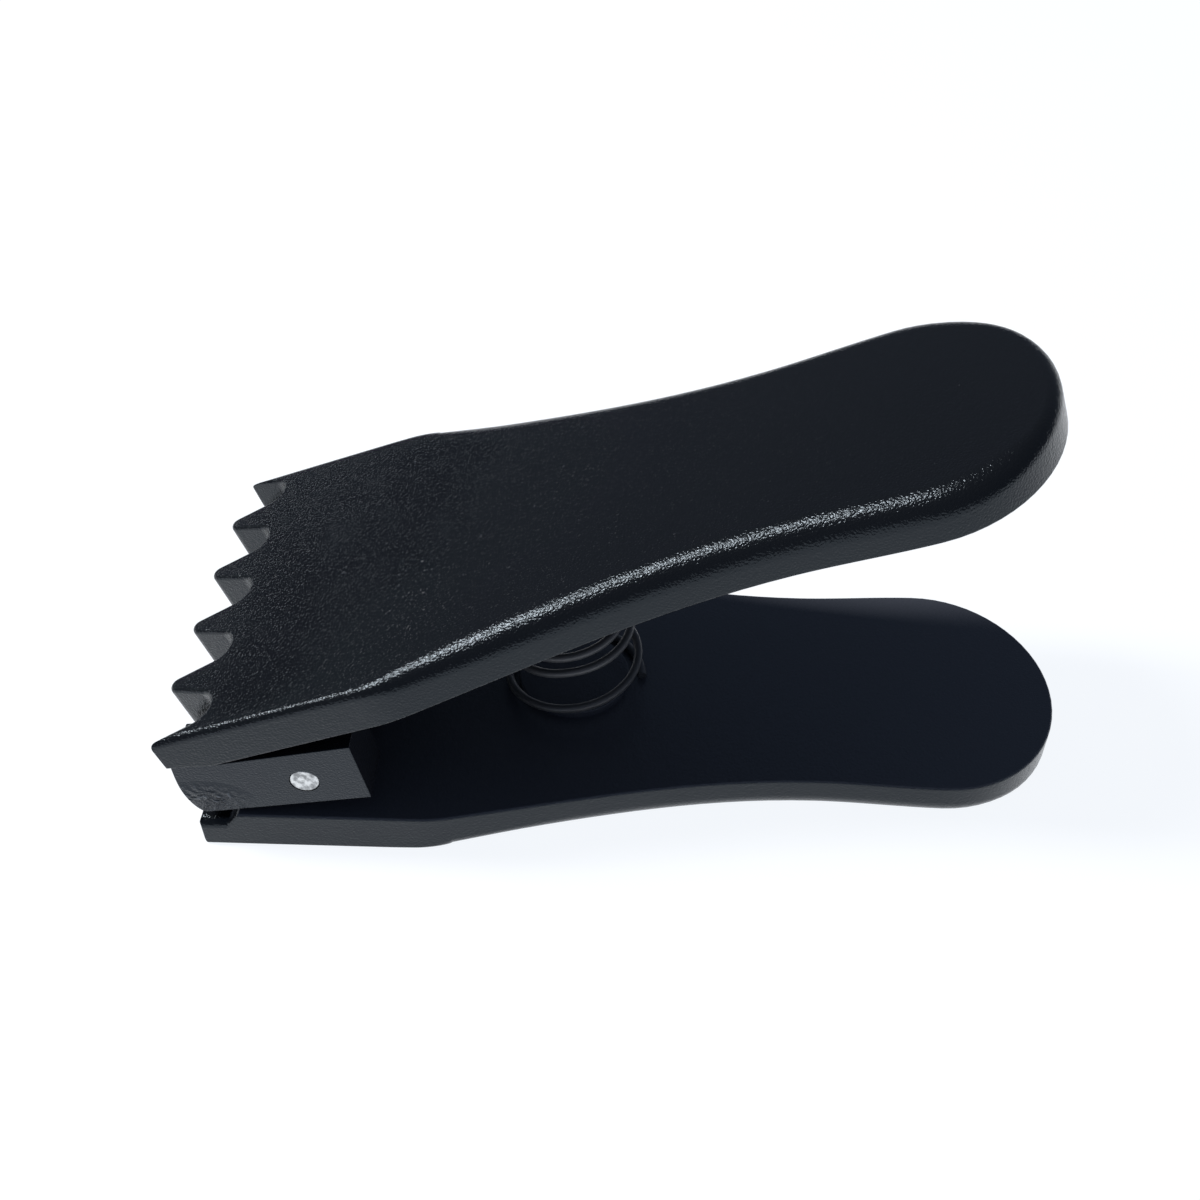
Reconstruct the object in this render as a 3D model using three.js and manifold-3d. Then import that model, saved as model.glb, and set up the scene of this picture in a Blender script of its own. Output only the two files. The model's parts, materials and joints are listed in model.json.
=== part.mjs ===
// Lobster cracker: two cast plate handles on one hinge pin, held apart by a conical spring.
// Squeezing the grips behind the pin opens the toothed jaw in front of it.
// Millimetres and degrees, +Z up, +X from the jaw to the grips. The part's origin is the middle of
// its base: halfway along its length, on the outer face of the lower handle.
import * as THREE from "three";
import { mergeVertices } from "three/addons/utils/BufferGeometryUtils.js";
import Module from "manifold-3d";

const wasm = await Module();
wasm.setup();

// ---- Driving dimensions ----

// Handle outline, from the front of the jaw, seen from above
const HANDLE_LENGTH = 152;
const PLATE = 8; // thickness of both handles
const JAW_WIDTH = 70.2;
const SHOULDER_X = 40.5; // where the jaw's straight sides end
const SHOULDER_SLOPE = -0.215; // half width per millimetre of length, just behind the shoulder
const WAIST_X = 107;
const WAIST_WIDTH = 48.2;
const BULB_X = 129.5; // widest place of the grip, where its round end begins
const BULB_WIDTH = 50;

// Edges of the plate
const SHARP_EDGE = 0.5; // rounding of the lower jaw and of all inner edges
const JAW_EDGE = 1.1; // rounding of the upper jaw's outer edge
const GRIP_EDGE = 4.4; // rounding of the grip's outer edge
const END_EDGE = 2.2; // rounding of the outer edge at the far end of the grip
const GRIP_EDGE_FROM = 33; // the outer edge's rounding grows over this stretch
const GRIP_EDGE_TO = 61;
const END_EDGE_FROM = 135.5; // and shrinks again over this one
const END_EDGE_TO = 150;
const NOSE_EDGE = 2.1; // rounding of the lower handle's front outer edge

// Hinge
const OPENING = 20.5; // angle between the handles at rest
const PIN_X = 19.8; // from the jaw's front
const PIN_DROP = 8.7; // from the inner face of each handle to the pin's axis
const PIN_RADIUS = 2.5;
const PIN_CLEARANCE = 0.15;
const SIDE_INSET = 0.7; // hinge blocks and pin ends lie this far inside the handles' sides

// Lugs of the handles, which turn on the pin between the two hinge blocks
const LUG_RADIUS = 6.2;
const LUG_ROOT = 9; // half length where the lug meets its plate
const LUG_GAP = 0.4;
const UPPER_LUG_WIDTH = 10.5;
const LOWER_LUG_WIDTH = 9.6;

// Hinge blocks, along and across the line halfway between the handles, from the pin's axis
const BLOCK_WIDTH = 10;
const BLOCK_REAR = 10;
const BLOCK_FRONT_TOP = 21.3;
const BLOCK_BELLY = 21.8; // the front bulges this far
const BLOCK_BELLY_HEIGHT = 1;
const BLOCK_BELLY_REACH_UP = 1.8; // how far the front's curves keep to their ends' directions
const BLOCK_BELLY_REACH_DOWN = 3.2;
const BLOCK_TOP_REACH = 1.9;
const BLOCK_TOP_LEAN = 0.25; // forwards, over that reach
const BLOCK_HEEL_REACH = 1.4;
const BLOCK_HEEL = 19.2; // where the rounded lower front edge meets the bottom
const BLOCK_BOTTOM = 5.5;
const BLOCK_TOP_FRONT = 6.4;
const BLOCK_TOP_STOP = 6.1; // height at the end of the flat that the upper handle rests on
const BLOCK_STOP_LENGTH = 8;
const BLOCK_TOP_REAR = 7.1;
const BLOCK_EDGE = 0.4;

// Jaw
const TOOTH_PITCH = 14.47;
const FRONT_ALLOWANCE = 2; // the upper plate starts this far in front of the teeth cut from it
const GULLET_DEPTH = 9.7;
const GULLET_RADIUS = 3.7;
const TIP_RADIUS = 1.7;
const TOOTH_SHIFT = 0.35; // the teeth are not quite centred on the jaw
const TOOTH_DRAFT = 0.35; // how much the teeth grow from the outer face to the inner one
const STOP_BEVEL_DEPTH = 1.8; // under the upper jaw, where it rests on the hinge blocks
const STOP_BEVEL_LENGTH = 7.8;
const STOP_GAP = 0.4; // between the end of the bevel and the hinge block, along the jaw's width
const STEP_DEPTH = 2; // in the lower jaw, under the hinge blocks
const STEP_LENGTH = 5.4;
const STEP_SLOPE = 1.6;

// Spring, between the inner faces
const SPRING_X = 43.2; // behind the pin
const WIRE_RADIUS = 0.8;
const SPRING_BOTTOM_RADIUS = 12.8; // to the middle of the wire
const SPRING_TOP_RADIUS = 6.2;
const SPRING_TURNS = 6.5; // closed end turns included
const SPRING_RISES = [[0.35, 0], [1.75, 0.37], [2.9, 0.47], [5.7, 1]]; // turn, share of the opening
const SEAT_GAP = 0.3;
const BOSS_HEIGHT = 1.5;
const BOSS_DRAFT = 0.5;
const LOWER_BOSS_RADIUS = 10.4;
const UPPER_BOSS_RADIUS = 4.6;

// ---- Places worked out from these ----

const HALF_OPENING = THREE.MathUtils.degToRad(OPENING / 2);
const HALF_JAW = JAW_WIDTH / 2;
const BLOCK_OUTER_Y = HALF_JAW - SIDE_INSET;
const BLOCK_INNER_Y = BLOCK_OUTER_Y - BLOCK_WIDTH;
const UPPER_LUG_OUTER_Y = BLOCK_INNER_Y - LUG_GAP;
const STOP_INNER_Y = BLOCK_INNER_Y - STOP_GAP;
const LOWER_LUG_OUTER_Y = UPPER_LUG_OUTER_Y - UPPER_LUG_WIDTH - LUG_GAP;

// Foremost point of the part: the outer front edge of the upper handle.
const FRONT_X =
  PIN_X - PIN_X * Math.cos(2 * HALF_OPENING) - (PIN_DROP + PLATE) * Math.sin(2 * HALF_OPENING);
const ORIGIN_X = (FRONT_X + HANDLE_LENGTH) / 2;

// ---- Materials ----

const blackCoat = new THREE.MeshStandardMaterial({ color: 0x17181b, roughness: 0.5, metalness: 0.1 });
const blackBlock = new THREE.MeshStandardMaterial({ color: 0x1c1e22, roughness: 0.6, metalness: 0.1 });
const springSteel = new THREE.MeshStandardMaterial({ color: 0x1a1b1d, roughness: 0.4, metalness: 0.7 });
const pinMetal = new THREE.MeshStandardMaterial({ color: 0xb9bdc0, roughness: 0.45, metalness: 0.9 });

// ---- Helpers: solids for cutting and joining ----

function toSolid(geometry) {
  const bare = new THREE.BufferGeometry();
  bare.setAttribute("position", geometry.getAttribute("position"));
  if (geometry.index) bare.setIndex(geometry.index);
  const merged = mergeVertices(bare, 1e-4);
  return new wasm.Manifold(
    new wasm.Mesh({
      numProp: 3,
      vertProperties: merged.attributes.position.array,
      triVerts: new Uint32Array(merged.index.array),
    }),
  );
}

function toGeometry(solid) {
  const mesh = solid.getMesh();
  const geometry = new THREE.BufferGeometry();
  geometry.setAttribute("position", new THREE.BufferAttribute(mesh.vertProperties, 3));
  geometry.setIndex(new THREE.BufferAttribute(mesh.triVerts, 1));
  geometry.computeVertexNormals();
  return geometry;
}

// A profile drawn in the XZ plane, given its width from yLow to yHigh.
function barAcross(shape, yLow, yHigh, curveSegments = 12) {
  const geometry = new THREE.ExtrudeGeometry(shape, {
    depth: yHigh - yLow,
    bevelEnabled: false,
    curveSegments,
  });
  geometry.rotateX(Math.PI / 2);
  geometry.translate(0, yHigh, 0);
  return toSolid(geometry);
}

// The points along a shape's outline, without the repeats where its curves join.
function pointsOf(shape, curveSegments) {
  const points = shape.getPoints(curveSegments);
  return points.filter((point, i) => i === 0 || point.distanceTo(points[i - 1]) > 1e-6);
}

// Rings of as many points each, stacked from the bottom to the top and closed at both ends.
function stackRings(rings) {
  const count = rings[0].length;
  const positions = rings.flatMap((ring) => ring.flatMap((point) => point.toArray()));
  const index = [];
  for (let r = 0; r + 1 < rings.length; r++) {
    for (let i = 0; i < count; i++) {
      const a = r * count + i;
      const b = r * count + ((i + 1) % count);
      index.push(a, b, b + count, a, b + count, a + count);
    }
  }
  for (const [r, up] of [[0, false], [rings.length - 1, true]]) {
    const contour = rings[r].map((point) => new THREE.Vector2(point.x, point.y));
    for (const [a, b, c] of THREE.ShapeUtils.triangulateShape(contour, [])) {
      const face = up ? [a, b, c] : [a, c, b];
      index.push(...face.map((i) => r * count + i));
    }
  }
  const geometry = new THREE.BufferGeometry();
  geometry.setAttribute("position", new THREE.Float32BufferAttribute(positions, 3));
  geometry.setIndex(index);
  return toSolid(geometry);
}

// A round bar along Y, centred on (x, z).
function roundBar(radius, yLow, yHigh, x, z) {
  const geometry = new THREE.CylinderGeometry(radius, radius, yHigh - yLow, 48);
  geometry.translate(x, (yLow + yHigh) / 2, z);
  return toSolid(geometry);
}

// ---- The handles' plate ----
// A handle's own frame: X from the jaw's front edge towards the grip, inner face at Z = 0 and
// outer face at Z = PLATE. The pin's axis is at (PIN_X, -PIN_DROP).

function handleOutline(frontX) {
  const waist = WAIST_WIDTH / 2;
  const bulb = BULB_WIDTH / 2;
  const throat = (WAIST_X - SHOULDER_X) / 3;
  const swell = (BULB_X - WAIST_X) / 3;
  const shape = new THREE.Shape();
  shape.moveTo(frontX, -HALF_JAW);
  shape.lineTo(GRIP_EDGE_FROM, -HALF_JAW);
  shape.lineTo(SHOULDER_X, -HALF_JAW);
  shape.bezierCurveTo(
    SHOULDER_X + throat, -HALF_JAW - SHOULDER_SLOPE * throat,
    WAIST_X - throat, -waist,
    WAIST_X, -waist,
  );
  shape.bezierCurveTo(WAIST_X + swell, -waist, BULB_X - swell, -bulb, BULB_X, -bulb);
  shape.absellipse(BULB_X, 0, HANDLE_LENGTH - BULB_X, bulb, -Math.PI / 2, Math.PI / 2, false);
  shape.bezierCurveTo(BULB_X - swell, bulb, WAIST_X + swell, waist, WAIST_X, waist);
  shape.bezierCurveTo(
    WAIST_X - throat, waist,
    SHOULDER_X + throat, HALF_JAW + SHOULDER_SLOPE * throat,
    SHOULDER_X, HALF_JAW,
  );
  shape.lineTo(GRIP_EDGE_FROM, HALF_JAW);
  shape.lineTo(frontX, HALF_JAW);
  return pointsOf(shape, 14);
}

// The direction in which each outline point moves when the outline is drawn in by one millimetre.
function inwardMoves(points) {
  const count = points.length;
  return points.map((point, i) => {
    const before = points[(i + count - 1) % count];
    const after = points[(i + 1) % count];
    const a = new THREE.Vector2(before.y - point.y, point.x - before.x).normalize();
    const b = new THREE.Vector2(point.y - after.y, after.x - point.x).normalize();
    return a.add(b).multiplyScalar(1 / (1 + a.clone().sub(b).dot(b)));
  });
}

function outerEdgeRadius(x, jawEdge) {
  const grown = THREE.MathUtils.smoothstep(x, GRIP_EDGE_FROM, GRIP_EDGE_TO);
  const closed = THREE.MathUtils.smoothstep(x, END_EDGE_FROM, END_EDGE_TO);
  return jawEdge + (GRIP_EDGE - jawEdge) * grown - (GRIP_EDGE - END_EDGE) * closed;
}

// The plate: rings of the outline stacked from the inner face to the outer one, drawn in at the edges.
function handlePlate(frontX, jawEdge) {
  const outline = handleOutline(frontX);
  const moves = inwardMoves(outline);
  const drawnIn = (i, inset, height) => {
    const place = moves[i].clone().multiplyScalar(inset).add(outline[i]);
    return new THREE.Vector3(place.x, place.y, height);
  };
  const rings = [
    outline.map((_, i) => drawnIn(i, SHARP_EDGE, 0)),
    outline.map((_, i) => drawnIn(i, 0, SHARP_EDGE)),
  ];
  const steps = 6;
  for (let k = 0; k <= steps; k++) {
    const angle = (k / steps) * (Math.PI / 2);
    rings.push(
      outline.map((point, i) => {
        const radius = outerEdgeRadius(point.x, jawEdge);
        return drawnIn(i, radius * (1 - Math.cos(angle)), PLATE - radius * (1 - Math.sin(angle)));
      }),
    );
  }
  return stackRings(rings);
}

// A lug from the inner face round the pin, with its bore still to be cut.
function lug(yLow, yHigh) {
  const centre = new THREE.Vector2(PIN_X, -PIN_DROP);
  const root = new THREE.Vector2(PIN_X + LUG_ROOT, 0).sub(centre);
  const turn = Math.acos(LUG_RADIUS / root.length());
  const touch = root.angle() - turn; // where the flank meets the round end
  const shape = new THREE.Shape();
  shape.moveTo(PIN_X - LUG_ROOT, 1);
  shape.lineTo(PIN_X - LUG_ROOT, 0);
  shape.absarc(centre.x, centre.y, LUG_RADIUS, Math.PI - touch, touch, false);
  shape.lineTo(PIN_X + LUG_ROOT, 0);
  shape.lineTo(PIN_X + LUG_ROOT, 1);
  return barAcross(shape, yLow, yHigh, 24);
}

function addLugs(plate, outerY, width) {
  let solid = plate;
  for (const [low, high] of [[-outerY, width - outerY], [outerY - width, outerY]]) {
    solid = solid.add(lug(low, high));
  }
  return solid.subtract(roundBar(PIN_RADIUS + PIN_CLEARANCE, -HALF_JAW, HALF_JAW, PIN_X, -PIN_DROP));
}

// A low round boss on the inner face, inside the end turn of the spring.
function addSpringBoss(plate, radius) {
  const boss = new THREE.CylinderGeometry(radius, radius - BOSS_DRAFT, BOSS_HEIGHT + 1, 48);
  boss.rotateX(Math.PI / 2);
  boss.translate(PIN_X + SPRING_X, 0, (1 - BOSS_HEIGHT) / 2);
  return plate.add(toSolid(boss));
}

// ---- The toothed front edge ----

// Straight flanks join the round tips to the round gullets. This is the direction, from a tip's
// centre, of the point where a flank leaves the tip.
function flankAngle() {
  const line = new THREE.Vector2(GULLET_DEPTH - GULLET_RADIUS - TIP_RADIUS, TOOTH_PITCH / 2);
  return line.angle() + Math.acos((TIP_RADIUS + GULLET_RADIUS) / line.length());
}

// The line in front of the teeth, seen from above, when they have grown by this much.
function toothLine(grow) {
  const margin = 4;
  const turn = flankAngle();
  const shape = new THREE.Shape();
  shape.moveTo(-margin, HALF_JAW + margin);
  shape.lineTo(-margin, -HALF_JAW - margin);
  for (let tooth = -3; tooth < 3; tooth++) {
    const gulletY = tooth * TOOTH_PITCH + TOOTH_SHIFT;
    const tipY = gulletY + TOOTH_PITCH / 2;
    const back = GULLET_DEPTH - GULLET_RADIUS;
    if (tooth > -3) {
      shape.absarc(back, gulletY, GULLET_RADIUS - grow, turn - Math.PI, Math.PI - turn, false);
    }
    shape.absarc(TIP_RADIUS, tipY, TIP_RADIUS + grow, -turn, turn, true);
  }
  return pointsOf(shape, 10);
}

// What is cut away in front of the teeth. The walls lean, so that the teeth grow towards Z = 0.
function gulletCutter() {
  const ring = (z) => {
    const grow = TOOTH_DRAFT * (1 - z / PLATE);
    return toothLine(grow).map((point) => new THREE.Vector3(point.x, point.y, z));
  };
  return stackRings([ring(-1), ring(PLATE + 1)]);
}

// ---- The pieces ----

function upperHandle() {
  const bevel = new THREE.Shape();
  bevel.moveTo(-1, -1);
  bevel.lineTo(STOP_BEVEL_LENGTH + 2, -1);
  bevel.lineTo(STOP_BEVEL_LENGTH, 0);
  bevel.lineTo(-1, STOP_BEVEL_DEPTH * (1 + 1 / STOP_BEVEL_LENGTH));
  let solid = handlePlate(-FRONT_ALLOWANCE, JAW_EDGE).subtract(gulletCutter());
  for (const [low, high] of [[-HALF_JAW - 1, -STOP_INNER_Y], [STOP_INNER_Y, HALF_JAW + 1]]) {
    solid = solid.subtract(barAcross(bevel, low, high));
  }
  solid = addLugs(solid, UPPER_LUG_OUTER_Y, UPPER_LUG_WIDTH);
  return addSpringBoss(solid, UPPER_BOSS_RADIUS);
}

function lowerHandle() {
  const step = new THREE.Shape();
  step.moveTo(-1, -1);
  step.lineTo(STEP_LENGTH + 1.5 * STEP_SLOPE, -1);
  step.lineTo(STEP_LENGTH, STEP_DEPTH);
  step.lineTo(-1, STEP_DEPTH);
  const nose = new THREE.Shape();
  nose.moveTo(-1, PLATE - NOSE_EDGE);
  nose.lineTo(0, PLATE - NOSE_EDGE);
  nose.absarc(NOSE_EDGE, PLATE - NOSE_EDGE, NOSE_EDGE, Math.PI, Math.PI / 2, true);
  nose.lineTo(NOSE_EDGE, PLATE + 1);
  nose.lineTo(-1, PLATE + 1);
  let solid = handlePlate(0, SHARP_EDGE).subtract(barAcross(step, -HALF_JAW - 1, HALF_JAW + 1));
  solid = solid.subtract(barAcross(nose, -HALF_JAW - 1, HALF_JAW + 1, 6));
  solid = addLugs(solid, LOWER_LUG_OUTER_Y, LOWER_LUG_WIDTH);
  return addSpringBoss(solid, LOWER_BOSS_RADIUS);
}

// In the hinge's frame: the pin's axis at the origin, X along the line halfway between the handles.
function hingeBlock(yLow, yHigh) {
  const shape = new THREE.Shape();
  shape.moveTo(-BLOCK_FRONT_TOP, BLOCK_TOP_FRONT);
  shape.bezierCurveTo(
    -BLOCK_FRONT_TOP - BLOCK_TOP_LEAN, BLOCK_TOP_FRONT - BLOCK_TOP_REACH,
    -BLOCK_BELLY, BLOCK_BELLY_HEIGHT + BLOCK_BELLY_REACH_UP,
    -BLOCK_BELLY, BLOCK_BELLY_HEIGHT,
  );
  shape.bezierCurveTo(
    -BLOCK_BELLY, BLOCK_BELLY_HEIGHT - BLOCK_BELLY_REACH_DOWN,
    -BLOCK_HEEL - BLOCK_HEEL_REACH, -BLOCK_BOTTOM,
    -BLOCK_HEEL, -BLOCK_BOTTOM,
  );
  shape.lineTo(BLOCK_REAR, -BLOCK_BOTTOM);
  shape.lineTo(BLOCK_REAR, BLOCK_TOP_REAR);
  shape.lineTo(BLOCK_STOP_LENGTH - BLOCK_FRONT_TOP, BLOCK_TOP_STOP);
  const geometry = new THREE.ExtrudeGeometry(shape, {
    depth: yHigh - yLow - 2 * BLOCK_EDGE,
    bevelThickness: BLOCK_EDGE,
    bevelSize: BLOCK_EDGE,
    bevelOffset: -BLOCK_EDGE,
    bevelSegments: 2,
    curveSegments: 6,
  });
  geometry.rotateX(Math.PI / 2);
  geometry.translate(0, yHigh - BLOCK_EDGE, 0);
  return toSolid(geometry).subtract(roundBar(PIN_RADIUS + PIN_CLEARANCE, yLow - 1, yHigh + 1, 0, 0));
}

function hingePin() {
  const half = BLOCK_OUTER_Y;
  const chamfer = 0.3;
  const profile = [
    new THREE.Vector2(0, -half),
    new THREE.Vector2(PIN_RADIUS - chamfer, -half),
    new THREE.Vector2(PIN_RADIUS, chamfer - half),
    new THREE.Vector2(PIN_RADIUS, half - chamfer),
    new THREE.Vector2(PIN_RADIUS - chamfer, half),
    new THREE.Vector2(0, half),
  ];
  return new THREE.LatheGeometry(profile, 48);
}

// The share of the way from the lower handle to the upper one after this many turns of the spring.
function springRise(turn) {
  const next = SPRING_RISES.findIndex(([at]) => turn < at);
  if (next === 0) return 0;
  if (next === -1) return 1;
  const [turnA, riseA] = SPRING_RISES[next - 1];
  const [turnB, riseB] = SPRING_RISES[next];
  return THREE.MathUtils.mapLinear(turn, turnA, turnB, riseA, riseB);
}

// The spring's wire: a cone of turns that fans out with the handles, flat against each at its ends.
// The pin's axis is at the origin, and the lower handle lies level.
class SpringCurve extends THREE.Curve {
  getPoint(t, target = new THREE.Vector3()) {
    const turn = t * SPRING_TURNS;
    const rise = springRise(turn);
    const radius = THREE.MathUtils.lerp(SPRING_BOTTOM_RADIUS, SPRING_TOP_RADIUS, t);
    const angle = turn * 2 * Math.PI;
    const seat = PIN_DROP - WIRE_RADIUS - SEAT_GAP;
    const along = SPRING_X + radius * Math.cos(angle);
    const across = THREE.MathUtils.lerp(-seat, seat, rise);
    const lift = rise * 2 * HALF_OPENING;
    return target.set(
      along * Math.cos(lift) - across * Math.sin(lift),
      radius * Math.sin(angle),
      along * Math.sin(lift) + across * Math.cos(lift),
    );
  }
}

function spring() {
  const wire = new THREE.Shape();
  wire.absarc(0, 0, WIRE_RADIUS, 0, 2 * Math.PI, false);
  return new THREE.ExtrudeGeometry(wire, {
    steps: Math.round(SPRING_TURNS * 18),
    curveSegments: 4,
    bevelEnabled: false,
    extrudePath: new SpringCurve(),
  });
}

// ---- Assembly ----

function piece(name, geometry, material) {
  const mesh = new THREE.Mesh(geometry, material);
  mesh.name = name;
  return mesh;
}

const cracker = new THREE.Group();
cracker.name = "lobster_cracker";

// Everything is placed from the pin's axis.
const hinge = new THREE.Group();
hinge.position.set(PIN_X - ORIGIN_X, 0, PLATE + PIN_DROP);
cracker.add(hinge);

const upper = piece("upper_handle", toGeometry(upperHandle()), blackCoat);
upper.position.set(-PIN_X, 0, PIN_DROP);
const upperTilt = new THREE.Group();
upperTilt.rotation.y = -2 * HALF_OPENING;
upperTilt.add(upper);

const lower = piece("lower_handle", toGeometry(lowerHandle()), blackCoat);
lower.position.set(-PIN_X, 0, -PIN_DROP);
lower.rotation.x = Math.PI;

const blockTilt = new THREE.Group();
blockTilt.rotation.y = -HALF_OPENING;
blockTilt.add(
  piece("left_hinge_block", toGeometry(hingeBlock(-BLOCK_OUTER_Y, -BLOCK_INNER_Y)), blackBlock),
  piece("right_hinge_block", toGeometry(hingeBlock(BLOCK_INNER_Y, BLOCK_OUTER_Y)), blackBlock),
  piece("hinge_pin", hingePin(), pinMetal),
);

hinge.add(upperTilt, lower, blockTilt, piece("spring", spring(), springSteel));

export default cracker;
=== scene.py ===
# %% [markdown]
# # A lobster cracker, from its frame to its finish
# The tool is two cast plate handles on one hinge pin, with a block on each side of the hinge and a
# conical spring that holds the grips apart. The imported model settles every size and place, so the
# first step loads it and keeps its box. Everything made after it is in metres, in the same frame:
# X from the toothed jaw to the grips, Y along the pin, Z up from the table.

# %% Load the frame
import json
import math

import bpy
from mathutils import Matrix, Vector


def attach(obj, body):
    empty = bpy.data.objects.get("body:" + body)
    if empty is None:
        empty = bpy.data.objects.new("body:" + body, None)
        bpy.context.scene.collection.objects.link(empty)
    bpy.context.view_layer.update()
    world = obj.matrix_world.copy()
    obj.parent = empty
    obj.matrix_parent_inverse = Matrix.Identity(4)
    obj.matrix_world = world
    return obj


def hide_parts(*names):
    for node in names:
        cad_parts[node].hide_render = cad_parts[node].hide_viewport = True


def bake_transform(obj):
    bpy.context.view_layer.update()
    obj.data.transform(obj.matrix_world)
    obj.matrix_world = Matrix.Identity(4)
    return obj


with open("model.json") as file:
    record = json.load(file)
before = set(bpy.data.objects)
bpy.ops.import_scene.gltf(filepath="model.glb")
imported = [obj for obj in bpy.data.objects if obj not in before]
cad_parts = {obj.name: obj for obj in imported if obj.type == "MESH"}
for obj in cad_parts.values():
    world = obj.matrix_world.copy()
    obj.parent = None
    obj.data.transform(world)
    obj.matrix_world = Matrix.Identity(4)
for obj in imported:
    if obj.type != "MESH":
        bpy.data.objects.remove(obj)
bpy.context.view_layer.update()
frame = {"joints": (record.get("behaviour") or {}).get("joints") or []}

pin = Vector(frame["joints"][0]["pos_m"])

# %% [markdown]
# ## The tool's own sizes
# A handle is drawn in a frame of its own, as it would lie on a bench: X from the jaw's front edge,
# the inner face at Z = 0 and the outer face at Z = PLATE. Only one handle shape is needed, because
# the lower handle is the same plate turned over, without teeth.

# %% Sizes
MM = 0.001
HANDLE_LENGTH = 152 * MM
PLATE = 8 * MM
HALF_JAW = 35.1 * MM
SHOULDER_X = 40.5 * MM
SHOULDER_SOFTNESS = 3 * MM
SHOULDER_SLOPE = -0.215
WAIST_X = 107 * MM
HALF_WAIST = 24.1 * MM
BULB_X = 129.5 * MM
HALF_BULB = 25 * MM
ROUND = 0.5523  # reach of a Bezier handle that makes a quarter circle
OPENING = math.radians(20.5)  # between the handles at rest
PIN_X = 19.8 * MM
PIN_DROP = 8.7 * MM  # from a handle's inner face to the pin's axis
PIN_RADIUS = 2.5 * MM
print("handle", HANDLE_LENGTH, "long,", 2 * HALF_JAW, "wide at the jaw")

# %% [markdown]
# ## Camera first
# The view is from the left of the tool and about 42 degrees above it, through a slightly wide lens.

# %% Camera
bpy.ops.object.camera_add(
    location=(1.8 * MM, -179.1 * MM, 190.6 * MM),
    rotation=(math.radians(47.77), math.radians(0.23), math.radians(2.22)),
)
camera = bpy.context.object
camera.name = "camera"
camera.data.lens = 40.55
camera.data.sensor_width = 36
camera.data.clip_start = 0.01
bpy.context.scene.camera = camera
print("camera", tuple(round(x, 3) for x in camera.location))

# %% [markdown]
# ## A few helpers
# An operator acts on whatever is selected, so each step begins by selecting one piece only.
# Outlines are drawn as Bezier curves, because a cast plate's edge is made of arcs and soft sweeps,
# and a curve says that with a handful of knots. Converting the curve gives the edge loop that is
# then filled and extruded.

# %% Selecting and applying
def work_on(piece):
    """Object mode, with this piece alone selected and active."""
    if bpy.context.object is not None and bpy.context.object.mode != "OBJECT":
        bpy.ops.object.mode_set(mode="OBJECT")
    bpy.ops.object.select_all(action="DESELECT")
    piece.select_set(True)
    bpy.context.view_layer.objects.active = piece


def apply_modifier(piece, kind, **settings):
    """Add one modifier, set it, and apply it to the mesh."""
    work_on(piece)
    modifier = piece.modifiers.new(kind.lower(), kind)
    for name, value in settings.items():
        setattr(modifier, name, value)
    bpy.ops.object.modifier_apply(modifier=modifier.name)


def settle(piece):
    """Put the piece's turn and place into its mesh, so that its object is at the origin."""
    work_on(piece)
    bpy.ops.object.transform_apply(location=True, rotation=True, scale=True)


# %% Drawing outlines
def straight(x, y):
    """A knot whose two sides are straight."""
    return ((x, y), (x, y), (x, y))


def arc(centre, radius, start, end):
    """Two knots with the arc between them; angles in radians, either way round."""
    reach = 4 / 3 * math.tan((end - start) / 4) * radius
    knots = []
    for angle, side in ((start, 1), (end, -1)):
        x = centre[0] + radius * math.cos(angle)
        y = centre[1] + radius * math.sin(angle)
        handle = (x - side * reach * math.sin(angle), y + side * reach * math.cos(angle))
        if side == 1:
            knots.append(((x, y), (x, y), handle))
        else:
            knots.append(((x, y), handle, (x, y)))
    return knots


def outline(name, knots, resolution=12):
    """A closed loop of edges through Bezier knots: (place, handle before, handle after)."""
    bpy.ops.object.select_all(action="DESELECT")
    bpy.ops.curve.primitive_bezier_curve_add()
    curve = bpy.context.object
    curve.name = name
    curve.data.dimensions = "2D"
    curve.data.fill_mode = "NONE"
    curve.data.resolution_u = resolution
    spline = curve.data.splines[0]
    spline.bezier_points.add(len(knots) - 2)
    for point, (place, before, after) in zip(spline.bezier_points, knots):
        point.handle_left_type = point.handle_right_type = "FREE"
        point.co = (*place, 0)
        point.handle_left = (*before, 0)
        point.handle_right = (*after, 0)
    spline.use_cyclic_u = True
    bpy.ops.object.convert(target="MESH")
    return bpy.context.object


def fill_and_extrude(piece, height):
    """Close the loop with one face and pull it up into a solid."""
    work_on(piece)
    bpy.ops.object.mode_set(mode="EDIT")
    bpy.ops.mesh.select_all(action="SELECT")
    bpy.ops.mesh.remove_doubles(threshold=1e-6)
    bpy.ops.mesh.edge_face_add()
    bpy.ops.mesh.extrude_region_move(TRANSFORM_OT_translate={"value": (0, 0, height)})
    bpy.ops.mesh.select_all(action="SELECT")
    bpy.ops.mesh.normals_make_consistent(inside=False)
    bpy.ops.object.mode_set(mode="OBJECT")
    return piece


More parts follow.
